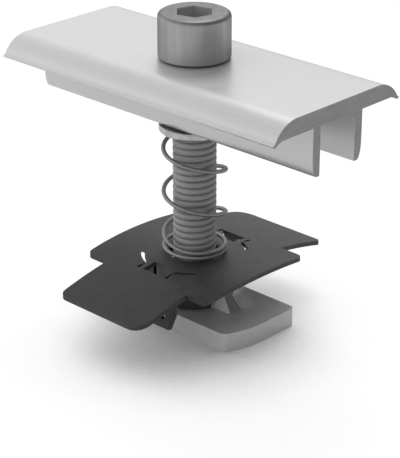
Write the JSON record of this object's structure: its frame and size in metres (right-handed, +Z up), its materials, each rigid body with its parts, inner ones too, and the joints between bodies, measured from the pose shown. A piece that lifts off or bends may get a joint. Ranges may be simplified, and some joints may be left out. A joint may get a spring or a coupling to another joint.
{
  "type": "solar mid clamp",
  "caption": "Sprung mid clamp for framed solar modules: an extruded aluminium clamp on a socket head screw, with a washer, coil spring, plastic rail clip and turn-in slot nut.",
  "frame": {"origin": "on the screw's axis, at the underside of the slot nut", "axes": "+Z up along the screw towards its head, +X along the clamp profile and the slot nut, +Y along the rail clip's long tabs"},
  "size_m": [0.0654, 0.0498, 0.0582],
  "materials": {
    "satin_aluminium": "mill finish aluminium with fine extrusion lines",
    "zinc_steel": "plain steel, slightly dull, with fine vertical knurl marks on the head",
    "pale_washer": "pale zinc-plated steel",
    "spring_steel": "drawn round wire",
    "black_plastic": "moulded glass-filled plastic with a fine grain",
    "cast_aluminium": "die-cast, slightly grey, with fine lines on its sides"
  },
  "bodies": {
    "base": {"slot_nut": "cast_aluminium", "rail_clip": "black_plastic"},
    "spring_carriage": {"compression_spring": "spring_steel"},
    "screw": {"cap_screw": "zinc_steel"},
    "washer_carriage": {"retaining_washer": "pale_washer"},
    "clamp": {"clamp_profile": "satin_aluminium"}
  },
  "joints": [
    {"name": "screw_travel", "type": "slide", "parent": "base", "child": "spring_carriage", "axis": [0, 0, 1], "range_m": [-0.01, 0], "deforming": ["compression_spring"]},
    {"name": "screw_turn", "type": "hinge", "parent": "spring_carriage", "child": "screw", "pos_m": [0, 0, 0.0502], "axis": [0, 0, 1], "range_deg": [-2880, 0]},
    {"name": "clamp_press", "type": "slide", "parent": "spring_carriage", "child": "washer_carriage", "axis": [0, 0, 1], "range_m": [-0.005, 0], "stiffness_N_per_m": 1060, "springref_m": 0.003},
    {"name": "clamp_swivel", "type": "hinge", "parent": "washer_carriage", "child": "clamp", "pos_m": [0, 0, 0.0499], "axis": [0, 0, 1], "continuous": true}
  ],
  "couplings": [
    {"joint": "screw_turn", "follows": "screw_travel", "rad_per_m": 5026.5}
  ]
}
